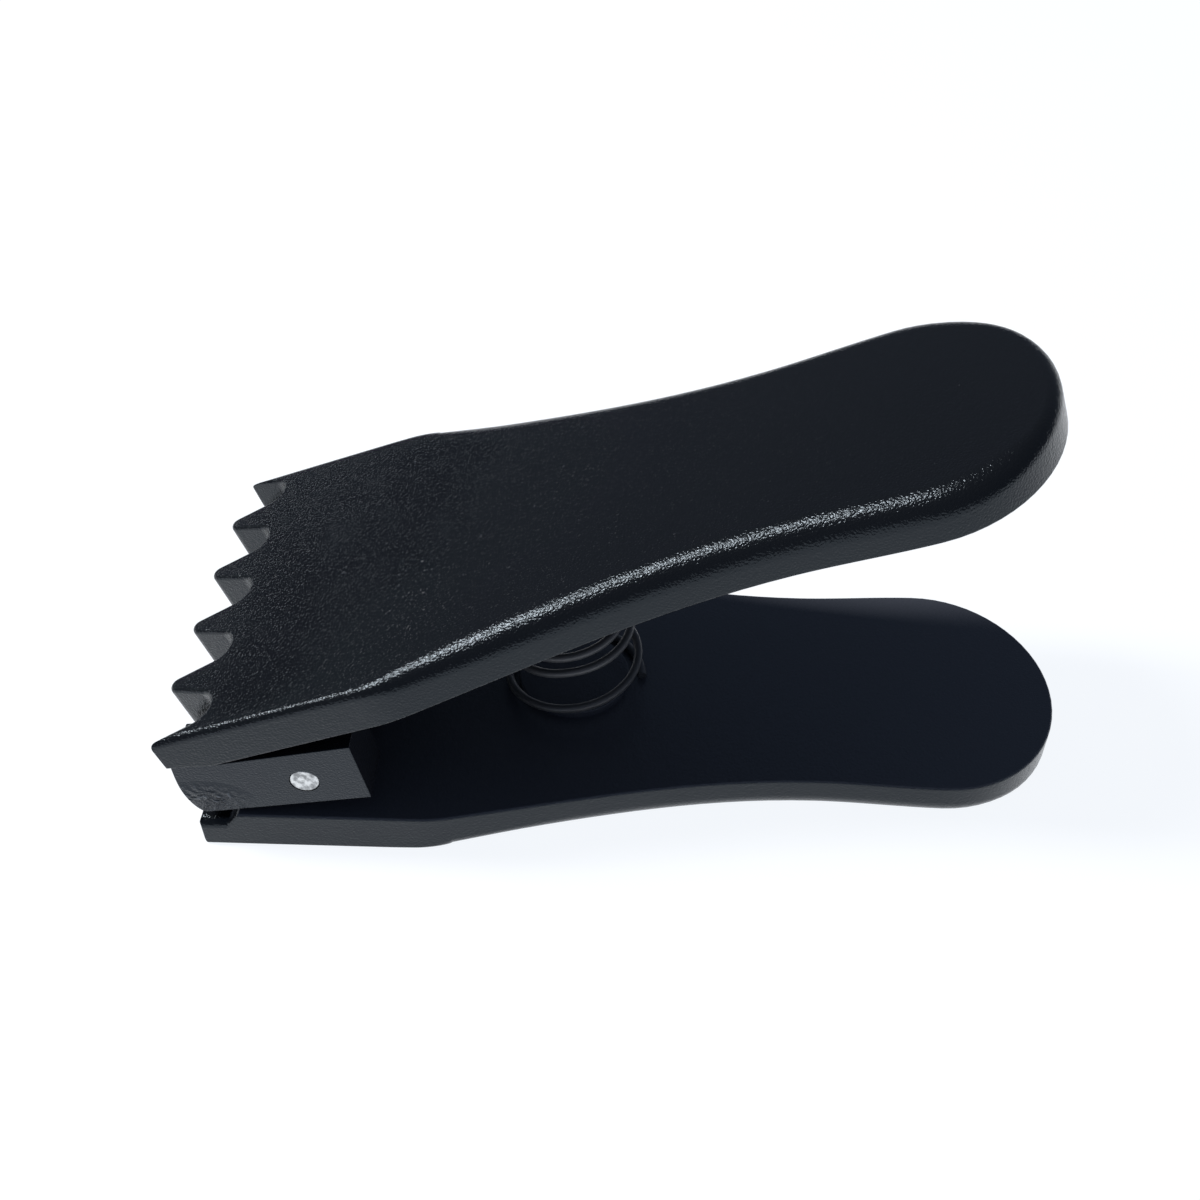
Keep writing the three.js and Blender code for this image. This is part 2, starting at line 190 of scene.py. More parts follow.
def loft(loops, heights):
    """A solid through loops of as many points each, one at each height."""
    for loop, height in zip(loops, heights):
        loop.location = (0, 0, height)
        settle(loop)
    work_on(loops[0])
    for loop in loops:
        loop.select_set(True)
    bpy.ops.object.join()
    solid = bpy.context.object

    def select_loops(*levels):
        """Select the edges that lie flat at one of these heights."""
        bpy.ops.object.mode_set(mode="EDIT")
        bpy.ops.mesh.select_mode(type="EDGE")
        bpy.ops.mesh.select_all(action="DESELECT")
        bpy.ops.object.mode_set(mode="OBJECT")
        for edge in solid.data.edges:
            ends = [solid.data.vertices[i].co.z for i in edge.vertices]
            edge.select = any(all(abs(z - level) < 0.001 * MM for z in ends) for level in levels)
        bpy.ops.object.mode_set(mode="EDIT")

    for low, high in zip(heights, heights[1:]):
        select_loops(low, high)
        bpy.ops.mesh.bridge_edge_loops()
    for level in (heights[0], heights[-1]):
        select_loops(level)
        bpy.ops.mesh.edge_face_add()
    bpy.ops.mesh.select_all(action="SELECT")
    bpy.ops.mesh.normals_make_consistent(inside=False)
    bpy.ops.object.mode_set(mode="OBJECT")
    return solid


def bar_across(name, knots, low_y, high_y, resolution=12):
    """A solid whose profile is drawn in X and Z, reaching from low_y to high_y."""
    bar = fill_and_extrude(outline(name, knots, resolution), high_y - low_y)
    bar.rotation_euler = (math.pi / 2, 0, 0)
    bar.location = (0, high_y, 0)
    settle(bar)
    return bar


# %% Joining and cutting
def combine(piece, tool, operation):
    """Join the tool to the piece, or cut it away, and delete the tool."""
    apply_modifier(piece, "BOOLEAN", operation=operation, object=tool, solver="EXACT")
    bpy.data.objects.remove(tool)


def round_bar(radius, low_y, high_y, x, z, vertices=64):
    """A cylinder along Y, used for pins, bores and round ends."""
    bpy.ops.object.select_all(action="DESELECT")
    bpy.ops.mesh.primitive_cylinder_add(
        vertices=vertices,
        radius=radius,
        depth=high_y - low_y,
        location=(x, (low_y + high_y) / 2, z),
        rotation=(math.pi / 2, 0, 0),
    )
    bar = bpy.context.object
    settle(bar)
    return bar


def seal(piece):
    """Merge points that lie on each other, and close what slivers are left open."""
    work_on(piece)
    bpy.ops.object.mode_set(mode="EDIT")
    bpy.ops.mesh.select_mode(type="EDGE")
    bpy.ops.mesh.select_all(action="SELECT")
    bpy.ops.mesh.remove_doubles(threshold=0.002 * MM)
    bpy.ops.mesh.dissolve_degenerate(threshold=0.001 * MM)
    bpy.ops.mesh.select_all(action="DESELECT")
    bpy.ops.mesh.select_non_manifold(use_wire=False, use_multi_face=False, use_verts=False)
    bpy.ops.mesh.fill_holes(sides=0)
    bpy.ops.mesh.select_all(action="SELECT")
    bpy.ops.mesh.normals_make_consistent(inside=False)
    bpy.ops.object.mode_set(mode="OBJECT")


def smooth(piece, angle=35):
    """Smooth shading that keeps flat faces flat and sharp edges sharp."""
    seal(piece)
    work_on(piece)
    bpy.ops.object.shade_smooth_by_angle(angle=math.radians(angle))
    apply_modifier(piece, "WEIGHTED_NORMAL", mode="FACE_AREA", weight=100, keep_sharp=True)


def report(piece):
    """How big the piece is, and whether its surface is closed."""
    work_on(piece)
    bpy.ops.object.mode_set(mode="EDIT")
    bpy.ops.mesh.select_mode(type="EDGE")
    bpy.ops.mesh.select_all(action="DESELECT")
    bpy.ops.mesh.select_non_manifold()
    bpy.ops.object.mode_set(mode="OBJECT")
    open_edges = sum(edge.select for edge in piece.data.edges)
    size = [round(side / MM, 1) for side in piece.dimensions]
    print(piece.name, "is", size, "mm,", len(piece.data.polygons), "faces, open edges:", open_edges)


# %% [markdown]
# ## The handles' outline
# From the front: straight jaw sides, a soft shoulder, a long sweep in to the waist, and a round
# bulb at the end of the grip.

# %% Grip outline
def grip_side(side):
    """Knots along one side of the handle from the shoulder to the bulb."""
    soft = SHOULDER_SOFTNESS
    throat = (WAIST_X - SHOULDER_X) / 3
    swell = (BULB_X - WAIST_X) / 3
    before, after = SHOULDER_X - soft, SHOULDER_X + soft
    jaw, waist, bulb = side * HALF_JAW, side * HALF_WAIST, side * HALF_BULB

    def past_shoulder(x):
        return (x, side * (HALF_JAW + SHOULDER_SLOPE * (x - SHOULDER_X)))

    round_end = ROUND * (HANDLE_LENGTH - BULB_X)
    return [
        ((before, jaw), (before, jaw), (SHOULDER_X - soft / 3, jaw)),
        (past_shoulder(after), past_shoulder(SHOULDER_X + soft / 3), past_shoulder(after + throat)),
        ((WAIST_X, waist), (WAIST_X - throat, waist), (WAIST_X + swell, waist)),
        ((BULB_X, bulb), (BULB_X - swell, bulb), (BULB_X + round_end, bulb)),
    ]


def handle_knots(front):
    """The whole outline, counter-clockwise from the right front corner seen from above."""
    left = grip_side(-1)
    right = [(place, after, before) for place, before, after in reversed(grip_side(1))]
    end_reach = ROUND * HALF_BULB
    end = ((HANDLE_LENGTH, 0), (HANDLE_LENGTH, -end_reach), (HANDLE_LENGTH, end_reach))
    return [*front, *left, end, *right]


print("the grip has", 2 * len(grip_side(1)) + 1, "knots")

# %% [markdown]
# ## Casting a handle
# The outline is filled and extruded to a plate. What is cut flat, the stop under the upper jaw and
# the step in the lower one, is cut before any edge is rounded. Then one Bevel modifier rounds every
# edge at once, each edge by its own weight: little round the jaw and the inner face, and
# widely along the outer side of the grip, where the palm lies. The rounding grows gently behind
# the shoulder. The teeth of the upper jaw are cut last, through the rounded edge.

# %% Edge rounding
GRIP_EDGE = 4.4 * MM
END_EDGE = 2.2 * MM
SHARP_EDGE = 0.5 * MM
JAW_EDGE = 1.5 * MM
CORNER_EDGE = 0.3 * MM
STEP_EDGE = 1.8 * MM
NOSE_EDGE = 2.1 * MM
GRIP_EDGE_FROM = 33 * MM  # the rounding grows over this stretch
GRIP_EDGE_TO = 61 * MM
END_EDGE_FROM = BULB_X + 6 * MM  # and shrinks again over this one
END_EDGE_TO = HANDLE_LENGTH - 2 * MM
SHARP_ANGLE = math.radians(35)  # edges sharper than this are rounded


def smooth_step(x, low, high):
    t = min(max((x - low) / (high - low), 0), 1)
    return t * t * (3 - 2 * t)


def outer_edge_radius(x, jaw_edge):
    """Small at the jaw, wide along the grip, and smaller again round its end."""
    grown = smooth_step(x, GRIP_EDGE_FROM, GRIP_EDGE_TO)
    closed = smooth_step(x, END_EDGE_FROM, END_EDGE_TO)
    return jaw_edge + (GRIP_EDGE - jaw_edge) * grown - (GRIP_EDGE - END_EDGE) * closed


def edge_radius(a, b, toothed):
    """The rounding of the edge from a to b, in the handle's own frame."""
    middle = (a + b) / 2
    along_rim = abs(a.z - b.z) < 0.01 * MM
    at_side = abs(middle.y) > HALF_JAW - 0.02 * MM
    in_front = middle.x < 0.1 * MM and not at_side
    if along_rim and middle.z > PLATE - 0.01 * MM:
        if in_front:
            return NOSE_EDGE
        return outer_edge_radius(middle.x, JAW_EDGE if toothed else SHARP_EDGE)
    if along_rim and at_side and abs(middle.z - STEP_DEPTH) < 0.01 * MM:
        return STEP_EDGE
    if in_front or (middle.x < 2 * MM and at_side and not along_rim):
        return CORNER_EDGE
    return SHARP_EDGE


def round_edges(piece, toothed):
    """Weight each edge that is sharp, then round them all."""
    mesh = piece.data
    faces_at = {}
    for face in mesh.polygons:
        for key in face.edge_keys:
            faces_at.setdefault(key, []).append(face.normal)
    weights = mesh.attributes.new("bevel_weight_edge", "FLOAT", "EDGE")
    for edge in mesh.edges:
        first, second = faces_at[tuple(sorted(edge.vertices))]
        if first.angle(second) > SHARP_ANGLE:
            a, b = (mesh.vertices[i].co for i in edge.vertices)
            weights.data[edge.index].value = edge_radius(a, b, toothed) / GRIP_EDGE
    apply_modifier(
        piece,
        "BEVEL",
        width=GRIP_EDGE,
        segments=8,
        limit_method="WEIGHT",
        use_clamp_overlap=False,
        loop_slide=True,
    )


# %% Lugs and spring bosses
LUG_RADIUS = 6.2 * MM
LUG_ROOT = 9 * MM
LUG_EDGE = 0.6 * MM
BORE_RADIUS = PIN_RADIUS + 0.15 * MM
BOSS_HEIGHT = 1.5 * MM
BOSS_EDGE = 0.4 * MM


def lug(low_y, high_y):
    """From the inner face, tapering to a round end about the pin."""
    root = Vector((LUG_ROOT, PIN_DROP))
    touch = root.to_2d().angle_signed(Vector((1, 0))) - math.acos(LUG_RADIUS / root.length)
    knots = [
        straight(PIN_X - LUG_ROOT, 1 * MM),
        straight(PIN_X - LUG_ROOT, 0),
        *arc((PIN_X, -PIN_DROP), LUG_RADIUS, math.pi - touch, 1.5 * math.pi),
        *arc((PIN_X, -PIN_DROP), LUG_RADIUS, 1.5 * math.pi, 2 * math.pi + touch),
        straight(PIN_X + LUG_ROOT, 0),
        straight(PIN_X + LUG_ROOT, 1 * MM),
    ]
    bar = bar_across("lug", knots, low_y, high_y)
    apply_modifier(bar, "BEVEL", width=LUG_EDGE, segments=3, limit_method="ANGLE", angle_limit=1.0)
    return bar


def boss(x, radius):
    """A low round boss that keeps the end turn of the spring in place."""
    bpy.ops.object.select_all(action="DESELECT")
    height = BOSS_HEIGHT + 1 * MM
    bpy.ops.mesh.primitive_cylinder_add(
        vertices=96, radius=radius, depth=height, location=(x, 0, 1 * MM - height / 2)
    )
    disc = bpy.context.object
    settle(disc)
    apply_modifier(disc, "BEVEL", width=BOSS_EDGE, segments=3, limit_method="ANGLE", angle_limit=1.0)
    return disc


# %% [markdown]
# ## Teeth
# The upper jaw has five rounded gullets between six pointed teeth. Straight flanks join the round
# gullets to the small rounds of the tips, so each flank is the inner tangent of two circles. What
# lies in front of the teeth is one cutter, lofted upwards: its walls lean a little, as a mould
# needs, and flare out at the top, which leaves a rounded rim on the teeth.

# %% Teeth
TOOTH_PITCH = 14.47 * MM
TOOTH_SHIFT = 0.35 * MM  # the teeth are not quite centred on the jaw
GULLET_DEPTH = 9.7 * MM
GULLET_RADIUS = 3.7 * MM
TIP_RADIUS = 1.7 * MM
DRAFT = 0.35 * MM  # how much the teeth grow from the outer face to the inner one
TOOTH_EDGE = 0.8 * MM


def tooth_line(grow):
    """The area in front of the teeth when they have grown by this much, as knots."""
    gullet, tip = GULLET_RADIUS - grow, TIP_RADIUS + grow
    span_x = GULLET_DEPTH - GULLET_RADIUS - TIP_RADIUS
    span_y = TOOTH_PITCH / 2
    lean = math.acos((tip + gullet) / math.hypot(span_x, span_y))
    turn = math.atan2(span_y, span_x) + lean  # direction of the flank's normal at a tip
    back = GULLET_DEPTH - GULLET_RADIUS
    far, ahead = HALF_JAW + 5 * MM, -5 * MM
    first_tip = 5 * span_y + TOOTH_SHIFT
    last_tip = TOOTH_SHIFT - 5 * span_y
    knots = [straight(ahead, far), straight(-grow, far)]
    knots += arc((TIP_RADIUS, first_tip), tip, math.pi, 2 * math.pi - turn)
    for step in range(2, -3, -1):
        gullet_y = step * TOOTH_PITCH + TOOTH_SHIFT
        knots += arc((back, gullet_y), gullet, math.pi - turn, turn - math.pi)
        if step > -2:
            knots += arc((TIP_RADIUS, gullet_y - span_y), tip, turn, 2 * math.pi - turn)
    knots += arc((TIP_RADIUS, last_tip), tip, turn, math.pi)
    return [*knots, straight(-grow, -far), straight(ahead, -far)]


def cut_teeth(plate):
    """Cut the gullets out of the upper jaw's front."""
    heights, grows = [-MM], [DRAFT]
    for step in range(6):
        rise = step / 5 * math.pi / 2
        heights.append(PLATE - TOOTH_EDGE * (1 - math.sin(rise)))
        grows.append(-TOOTH_EDGE * (1 - math.cos(rise)))
    heights.append(PLATE + MM)
    grows.append(-TOOTH_EDGE)
    loops = [outline("cutter_loop", tooth_line(grow), resolution=10) for grow in grows]
    combine(plate, loft(loops, heights), "DIFFERENCE")


print("the line of the teeth has", len(tooth_line(0)), "knots")

# %% One handle
STOP_DEPTH = 1.8 * MM
STOP_LENGTH = 7.8 * MM
STOP_INNER_Y = 24 * MM
STEP_DEPTH = 2 * MM
STEP_LENGTH = 5.4 * MM
STEP_SLOPE = 1.6 * MM
SPRING_X = 43.2 * MM  # behind the pin
TEETH_ALLOWANCE = 2 * MM  # the upper plate starts this far in front of its teeth


def cut_across(plate, corners, low_y, high_y):
    """Cut a straight-sided channel across the jaw; corners are (x, z)."""
    knots = [straight(*corner) for corner in corners]
    tool = bar_across("cutter", knots, low_y, high_y, resolution=1)
    combine(plate, tool, "DIFFERENCE")


def cut_stops(plate):
    """The slopes under the upper jaw that rest on the hinge blocks."""
    below, ahead = 1 * MM, 4 * MM
    far = STOP_LENGTH * (1 + below / STOP_DEPTH)
    top = STOP_DEPTH * (1 + ahead / STOP_LENGTH)
    corners = [(-ahead, -below), (far, -below), (-ahead, top)]
    cut_across(plate, corners, STOP_INNER_Y, HALF_JAW + MM)
    cut_across(plate, corners, -HALF_JAW - MM, -STOP_INNER_Y)


def cut_step(plate):
    """The step in the lower jaw under the hinge blocks."""
    far = STEP_LENGTH + 1.5 * STEP_SLOPE
    corners = [(-MM, -MM), (far, -MM), (STEP_LENGTH, STEP_DEPTH), (-MM, STEP_DEPTH)]
    cut_across(plate, corners, -HALF_JAW - MM, HALF_JAW + MM)


def handle(name, toothed, lug_places, boss_radius):
    """A handle in its own frame, before it is set at its place in the tool."""
    front_x = -TEETH_ALLOWANCE if toothed else 0
    front = [straight(front_x, HALF_JAW), straight(front_x, -HALF_JAW)]
    plate = fill_and_extrude(outline(name, handle_knots(front), resolution=16), PLATE)
    if toothed:
        cut_stops(plate)
    else:
        cut_step(plate)
    round_edges(plate, toothed)
    for low_y, high_y in lug_places:
        combine(plate, lug(low_y, high_y), "UNION")
    combine(plate, boss(PIN_X + SPRING_X, boss_radius), "UNION")
    combine(plate, round_bar(BORE_RADIUS, -HALF_JAW, HALF_JAW, PIN_X, -PIN_DROP), "DIFFERENCE")
    if toothed:
        cut_teeth(plate)
    return plate


# %% Upper handle
def place_from_pin(piece, turn):
    """Turn the piece about the hinge pin; it was drawn with the pin at (PIN_X, -PIN_DROP)."""
    piece.data.transform(Matrix.Translation((-PIN_X, 0, PIN_DROP)))
    piece.data.transform(Matrix.Rotation(-turn, 4, "Y"))
    piece.data.transform(Matrix.Translation(pin))


UPPER_LUGS = [(-24 * MM, -13.5 * MM), (13.5 * MM, 24 * MM)]
UPPER_BOSS_RADIUS = 4.6 * MM

upper = handle("upper_handle_casting", True, UPPER_LUGS, UPPER_BOSS_RADIUS)
place_from_pin(upper, OPENING)
smooth(upper)
report(upper)

# %% Lower handle
LOWER_LUGS = [(-13.1 * MM, -3.5 * MM), (3.5 * MM, 13.1 * MM)]
LOWER_BOSS_RADIUS = 10.4 * MM

lower = handle("lower_handle_casting", False, LOWER_LUGS, LOWER_BOSS_RADIUS)
lower.rotation_euler = (math.pi, 0, 0)
lower.location = (pin.x - PIN_X, 0, pin.z - PIN_DROP)
settle(lower)
smooth(lower)
report(lower)

# %% [markdown]
# ## Hinge blocks
# The blocks are bars with a slightly tapering profile. Their lower front edge, the heel, is well
# rounded, and the flat at the front of the top is what the upper jaw rests on. They are drawn about
# the pin, on the line halfway between the handles.

# %% Blocks
BLOCK_OUTER_Y = HALF_JAW - 0.7 * MM
BLOCK_INNER_Y = BLOCK_OUTER_Y - 10 * MM
BLOCK_EDGE = 0.45 * MM
PIN_FIT = 0.06 * MM  # between the pin and its bores in the blocks


def hinge_block(name, low_y, high_y):
    front_top, belly, rear = -21.3 * MM, -21.8 * MM, 10 * MM
    bottom, heel_x = -5.5 * MM, -19.2 * MM
    knots = [
        ((front_top, 6.4 * MM), (front_top, 6.4 * MM), (front_top - 0.25 * MM, 4.5 * MM)),
        ((belly, 1 * MM), (belly, 2.8 * MM), (belly, -2.2 * MM)),
        ((heel_x, bottom), (heel_x - 1.4 * MM, bottom), (heel_x, bottom)),
        straight(rear, bottom),
        straight(rear, 7.1 * MM),
        straight(-13.3 * MM, 6.1 * MM),
    ]
    block = bar_across(name, knots, low_y, high_y)
    apply_modifier(block, "BEVEL", width=BLOCK_EDGE, segments=4, limit_method="ANGLE", angle_limit=0.8)
    combine(block, round_bar(PIN_RADIUS + PIN_FIT, low_y - MM, high_y + MM, 0, 0), "DIFFERENCE")
    block.rotation_euler = (0, -OPENING / 2, 0)
    block.location = pin
    settle(block)
    smooth(block)
    report(block)
    return block


left_block = hinge_block("left_hinge_block_casting", -BLOCK_OUTER_Y, -BLOCK_INNER_Y)
right_block = hinge_block("right_hinge_block_casting", BLOCK_INNER_Y, BLOCK_OUTER_Y)

# %% [markdown]
# ## Hinge pin
# A soft metal pin pressed through both blocks and peened flush, so each end is slightly dished and
# uneven. A cylinder's ends are inset and pushed in, and the rims are rounded.

# %% Pin
def hinge_pin():
    bar = round_bar(PIN_RADIUS, -BLOCK_OUTER_Y, BLOCK_OUTER_Y, pin.x, pin.z, vertices=64)
    bar.name = "hinge_pin_peened"
    apply_modifier(bar, "BEVEL", width=0.3 * MM, segments=4, limit_method="ANGLE", angle_limit=1.0)
    for side in (-1, 1):
        work_on(bar)
        for face in bar.data.polygons:
            face.select = face.normal.y * side > 0.99
        bpy.ops.object.mode_set(mode="EDIT")
        bpy.ops.mesh.select_mode(type="FACE")
        for width, push in ((0.5, -0.05), (0.6, -0.06), (0.6, 0.02)):
            bpy.ops.mesh.inset(thickness=width * MM)
            bpy.ops.transform.translate(value=(0, side * push * MM, 0))
        bpy.ops.object.mode_set(mode="OBJECT")
    smooth(bar, 40)
    report(bar)
    return bar


pin_piece = hinge_pin()

# %% [markdown]
# ## Spring
# A conical spring of round wire. Its turns fan out with the handles, because each end turn lies
# flat on its own handle, so the wire's path is worked out in the hinge's own terms: how far along
# from the pin, how far across between the handles, and how much of the opening it has turned.

# %% Spring wire
WIRE_RADIUS = 0.8 * MM
SPRING_BOTTOM_RADIUS = 12.8 * MM
SPRING_TOP_RADIUS = 6.2 * MM
SPRING_TURNS = 6.5
SPRING_RISES = ((0.35, 0), (1.75, 0.37), (2.9, 0.47), (5.7, 1))  # turn, share of the opening
SEAT_GAP = 0.1 * MM


def risen(turn):
    """The share of the way from the lower handle to the upper one after this many turns."""
    if turn <= SPRING_RISES[0][0]:
        return 0
    for (turn_a, rise_a), (turn_b, rise_b) in zip(SPRING_RISES, SPRING_RISES[1:]):
        if turn <= turn_b:
            return rise_a + (rise_b - rise_a) * (turn - turn_a) / (turn_b - turn_a)
    return 1


def wire_point(turn):
    """Where the middle of the wire is after this many turns."""
    rise = risen(turn)
    radius = SPRING_BOTTOM_RADIUS
    radius += (SPRING_TOP_RADIUS - SPRING_BOTTOM_RADIUS) * turn / SPRING_TURNS
    angle = turn * 2 * math.pi
    seat = PIN_DROP - WIRE_RADIUS - SEAT_GAP
    along = SPRING_X + radius * math.cos(angle)
    place = Vector((along, radius * math.sin(angle), (2 * rise - 1) * seat))
    return pin + Matrix.Rotation(-rise * OPENING, 3, "Y") @ place


def spring():
    bpy.ops.object.select_all(action="DESELECT")
    bpy.ops.curve.primitive_nurbs_path_add()
    wire = bpy.context.object
    wire.name = "spring_wire"
    wire.data.splines.clear()
    line = wire.data.splines.new("POLY")
    count = int(SPRING_TURNS * 48)
    line.points.add(count - 1)
    for i, point in enumerate(line.points):
        point.co = (*wire_point(SPRING_TURNS * i / (count - 1)), 1)
    wire.data.bevel_depth = WIRE_RADIUS
    wire.data.bevel_resolution = 4
    wire.data.use_fill_caps = True
    work_on(wire)
    bpy.ops.object.convert(target="MESH")
    wire = bpy.context.object
    settle(wire)
    smooth(wire, 50)
    report(wire)
    return wire


spring_piece = spring()

# %% [markdown]
# ## Finishes
# Every pattern is worked out from Object coordinates in metres, so a scale of 1000 gives features
# about a millimetre across. The coat is a dry-looking black powder coat: its grain breaks the
# highlight up. The upper jaw has a scuff behind the teeth, and the near hinge block keeps the rough
# skin of its casting at the heel.

# %% Material helpers
def new_material(name, **sockets):
    """A material with a Principled shader, its plain values set on the shader's own sockets."""
    material = bpy.data.materials.new(name)
    material.use_nodes = True
    shader = material.node_tree.nodes["Principled BSDF"]
    for socket, value in sockets.items():
        shader.inputs[socket.replace("_", " ")].default_value = value
    return material, shader


def node(material, kind, inputs=None, **settings):
    """Add one node; inputs maps a socket to a value or to another node's output socket."""
    made = material.node_tree.nodes.new(kind)
    for name, value in settings.items():
        setattr(made, name, value)
    for socket, value in (inputs or {}).items():
        if isinstance(value, bpy.types.NodeSocket):
            material.node_tree.links.new(value, made.inputs[socket])
        else:
            made.inputs[socket].default_value = value
    return made


def link(material, output, target):
    material.node_tree.links.new(output, target)


def ramp(material, factor, low, high, dark=0, light=1):
    """Stretch a factor's range from low to high over dark to light."""
    return node(
        material,
        "ShaderNodeMapRange",
        {"Value": factor, "From Min": low, "From Max": high, "To Min": dark, "To Max": light},
    ).outputs["Result"]


# %% Places of the marks
SCUFF_PLACE = (-0.0365, -0.0150, 0.0410)
SCUFF_SIZE = (0.006, 0.014, 0.006)
HEEL_PLACE = (-0.0715, -0.0344, 0.0115)
HEEL_SIZE = (0.0085, 0.004, 0.0045)


# %% Powder coat
def powder_coat(name, colour, grain=1.0):
    """Black powder coat: a fine grain, a soft orange peel, a few painted glints as lighter specks in
    the colour, uneven gloss.
    """
    material, shader = new_material(name, IOR=1.42, Specular_Tint=(0.74, 0.87, 1, 1))
    place = node(material, "ShaderNodeTexCoord").outputs["Object"]
    fine = node(material, "ShaderNodeTexNoise", {"Vector": place, "Scale": 2700, "Detail": 1})
    soft = node(material, "ShaderNodeTexNoise", {"Vector": place, "Scale": 600, "Detail": 2})
    broad = node(material, "ShaderNodeTexNoise", {"Vector": place, "Scale": 45, "Detail": 4})
    cells = node(material, "ShaderNodeTexVoronoi", {"Vector": place, "Scale": 2600})
    # Painted glints: a few of the cells get a much lighter base colour, standing in for the glints of
    # the coat's sparkle.
    painted_glint_speck = ramp(material, cells.outputs["Color"], 0.975, 0.985)
    tone = node(
        material,
        "ShaderNodeMix",
        {"Factor": painted_glint_speck, "A": (*colour, 1), "B": (*[c * 3 + 0.02 for c in colour], 1)},
        data_type="RGBA",
    )
    link(material, tone.outputs["Result"], shader.inputs["Base Color"])
    gloss = ramp(material, broad.outputs["Fac"], 0.3, 0.7, 0.17, 0.21)
    link(material, gloss, shader.inputs["Roughness"])
    low = node(
        material,
        "ShaderNodeBump",
        {"Height": soft.outputs["Fac"], "Strength": 0.2, "Distance": 0.0001},
    )
    high = node(
        material,
        "ShaderNodeBump",
        {
            "Height": fine.outputs["Fac"],
            "Strength": grain,
            "Distance": 0.00011,
            "Normal": low.outputs["Normal"],
        },
    )
    link(material, high.outputs["Normal"], shader.inputs["Normal"])
    return material, shader


def near_point(material, centre, size):
    """One at the centre, falling to nothing at the size away from it along each axis."""
    place = node(material, "ShaderNodeTexCoord").outputs["Object"]
    offset = node(
        material, "ShaderNodeVectorMath", {0: place, 1: centre}, operation="SUBTRACT"
    ).outputs["Vector"]
    shrunk = node(
        material, "ShaderNodeVectorMath", {0: offset, 1: size}, operation="DIVIDE"
    ).outputs["Vector"]
    distance = node(material, "ShaderNodeVectorMath", {0: shrunk}, operation="LENGTH").outputs["Value"]
    return ramp(material, distance, 0.3, 1, 1, 0)


def lighten(material, shader, amount, colour):
    """Mix a lighter colour over what the shader's base colour is already linked to."""
    under = shader.inputs["Base Color"].links[0].from_socket
    mix = node(material, "ShaderNodeMix", {"Factor": amount, "A": under, "B": colour}, data_type="RGBA")
    link(material, mix.outputs["Result"], shader.inputs["Base Color"])


def multiply(material, a, b):
    return node(material, "ShaderNodeMath", {0: a, 1: b}, operation="MULTIPLY").outputs["Value"]


# %% Upper handle's finish, with a scuff behind the teeth
BLACK = (0.006, 0.0068, 0.0085)
coat, shader = powder_coat("black_powder_coat", BLACK)
place = node(coat, "ShaderNodeTexCoord").outputs["Object"]
chips = node(coat, "ShaderNodeTexVoronoi", {"Vector": place, "Scale": 2200})
chip = ramp(coat, chips.outputs["Color"], 0.75, 0.8)
dust = node(coat, "ShaderNodeTexNoise", {"Vector": place, "Scale": 1300, "Detail": 4})
dusty = ramp(coat, dust.outputs["Fac"], 0.56, 0.68)
scuff = near_point(coat, SCUFF_PLACE, SCUFF_SIZE)
lighten(coat, shader, multiply(coat, multiply(coat, scuff, chip), dusty), (0.16, 0.165, 0.17, 1))

# %% Lower handle's finish, with painted fill light on its inner face, and hinge blocks' finishes
lower_coat, shader = powder_coat("black_powder_coat_painted_fill", BLACK, 0.8)
place = node(lower_coat, "ShaderNodeTexCoord").outputs["Object"]
# Painted fill light: the lower handle's inner face, which faces up between the handles, gets a lighter
# navy base colour than the rest of the same black coat.
height = node(lower_coat, "ShaderNodeSeparateXYZ", {"Vector": place}).outputs["Z"]
inside = ramp(lower_coat, height, PLATE - 0.4 * MM, PLATE - 0.1 * MM)
lighten(lower_coat, shader, inside, (0.068, 0.075, 0.094, 1))
block_coat, shader = powder_coat("block_powder_coat", (0.012, 0.0135, 0.018), 0.9)
place = node(block_coat, "ShaderNodeTexCoord").outputs["Object"]
lumps = node(block_coat, "ShaderNodeTexNoise", {"Vector": place, "Scale": 900, "Detail": 3})
rough_cast = near_point(block_coat, HEEL_PLACE, HEEL_SIZE)
lump_height = multiply(block_coat, lumps.outputs["Fac"], rough_cast)
casting_skin = node(
    block_coat,
    "ShaderNodeBump",
    {
        "Height": lump_height,
        "Strength": 1,
        "Distance": 0.0009,
        "Normal": shader.inputs["Normal"].links[0].from_socket,
    },
)
link(block_coat, casting_skin.outputs["Normal"], shader.inputs["Normal"])
pits = ramp(block_coat, lumps.outputs["Fac"], 0.58, 0.68)
lighten(block_coat, shader, multiply(block_coat, pits, rough_cast), (0.12, 0.13, 0.15, 1))

# %% Peened pin metal
pin_metal, shader = new_material("peened_aluminium", Metallic=0.9, Roughness=0.42)
place = node(pin_metal, "ShaderNodeTexCoord").outputs["Object"]
mottle = node(pin_metal, "ShaderNodeTexNoise", {"Vector": place, "Scale": 900, "Detail": 3})
tone = node(
    pin_metal,
    "ShaderNodeMix",
    {
        "Factor": ramp(pin_metal, mottle.outputs["Fac"], 0.4, 0.62),
        "A": (0.3, 0.31, 0.32, 1),
        "B": (0.8, 0.82, 0.83, 1),
    },
    data_type="RGBA",
)
link(pin_metal, tone.outputs["Result"], shader.inputs["Base Color"])
dents = node(
    pin_metal,
    "ShaderNodeBump",
    {"Height": mottle.outputs["Fac"], "Strength": 0.7, "Distance": 0.0001},
)
link(pin_metal, dents.outputs["Normal"], shader.inputs["Normal"])

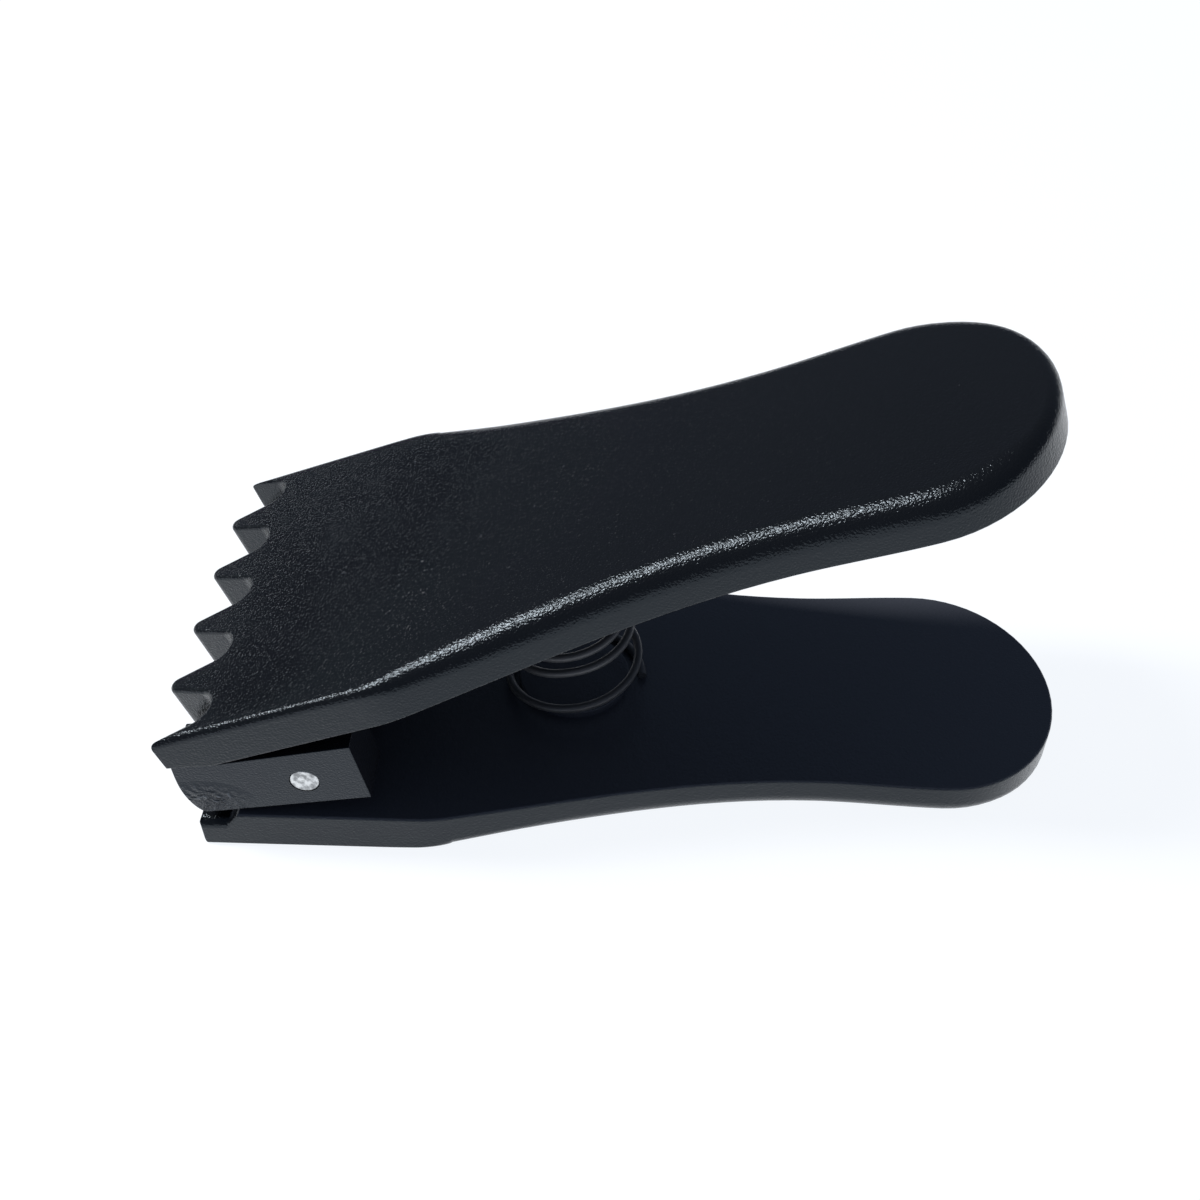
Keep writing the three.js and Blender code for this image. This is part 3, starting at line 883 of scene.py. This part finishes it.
# %% Spring wire finish
wire_black, shader = new_material(
    "blackened_wire",
    Base_Color=(0.09, 0.095, 0.105, 1),
    Metallic=0.3,
)
place = node(wire_black, "ShaderNodeTexCoord").outputs["Object"]
scale_marks = node(wire_black, "ShaderNodeTexNoise", {"Vector": place, "Scale": 1500, "Detail": 3})
gloss = ramp(wire_black, scale_marks.outputs["Fac"], 0.3, 0.7, 0.36, 0.48)
link(wire_black, gloss, shader.inputs["Roughness"])

# %% Dress the pieces
def dress(piece, material, body, node_name):
    """Give the piece its finish, hide the CAD node it takes the place of, and hang it on its body if
    one is given.
    """
    piece.data.materials.clear()
    piece.data.materials.append(material)
    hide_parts(node_name)
    if body:
        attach(piece, body)


dress(upper, coat, "upper_handle", "upper_handle")
dress(lower, lower_coat, "lower_handle", "lower_handle")
dress(left_block, block_coat, "hinge_blocks", "left_hinge_block")
dress(right_block, block_coat, "hinge_blocks", "right_hinge_block")
dress(pin_piece, pin_metal, "hinge_blocks", "hinge_pin")
dress(spring_piece, wire_black, None, "spring")

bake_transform(spring_piece)

# %% [markdown]
# ## Studio
# A pale floor that glows a little fills the view, and one long softbox hangs to the left. The room
# behind stays dim: the black coat takes its shape from what it mirrors, the floor in its upright
# sides and the softbox as a bright line along its rounded edges.

# %% Floor and lights
bpy.ops.object.select_all(action="DESELECT")
bpy.ops.mesh.primitive_plane_add(size=8, location=(0, 0, 0))
floor = bpy.context.object
floor.name = "floor"
pale, shader = new_material(
    "pale_floor",
    Base_Color=(0.15, 0.15, 0.15, 1),
    Roughness=0.9,
    Emission_Color=(0.93, 0.96, 1, 1),
    Emission_Strength=0.95,
)
floor.data.materials.append(pale)

bpy.ops.object.light_add(type="AREA", location=(-0.755, 0.083, 1.03))
overhead = bpy.context.object
overhead.name = "overhead_softbox"
overhead.rotation_euler = Vector(overhead.location).to_track_quat("Z", "Y").to_euler()
overhead.data.shape = "RECTANGLE"
overhead.data.size = 0.18
overhead.data.size_y = 0.6
overhead.data.energy = 15
overhead.data.color = (1, 0.97, 0.93)

world = bpy.data.worlds.new("dim_room")
world.use_nodes = True
world.node_tree.nodes["Background"].inputs["Color"].default_value = (0.10, 0.12, 0.16, 1)
bpy.context.scene.world = world
bpy.context.scene.view_settings.view_transform = "Standard"
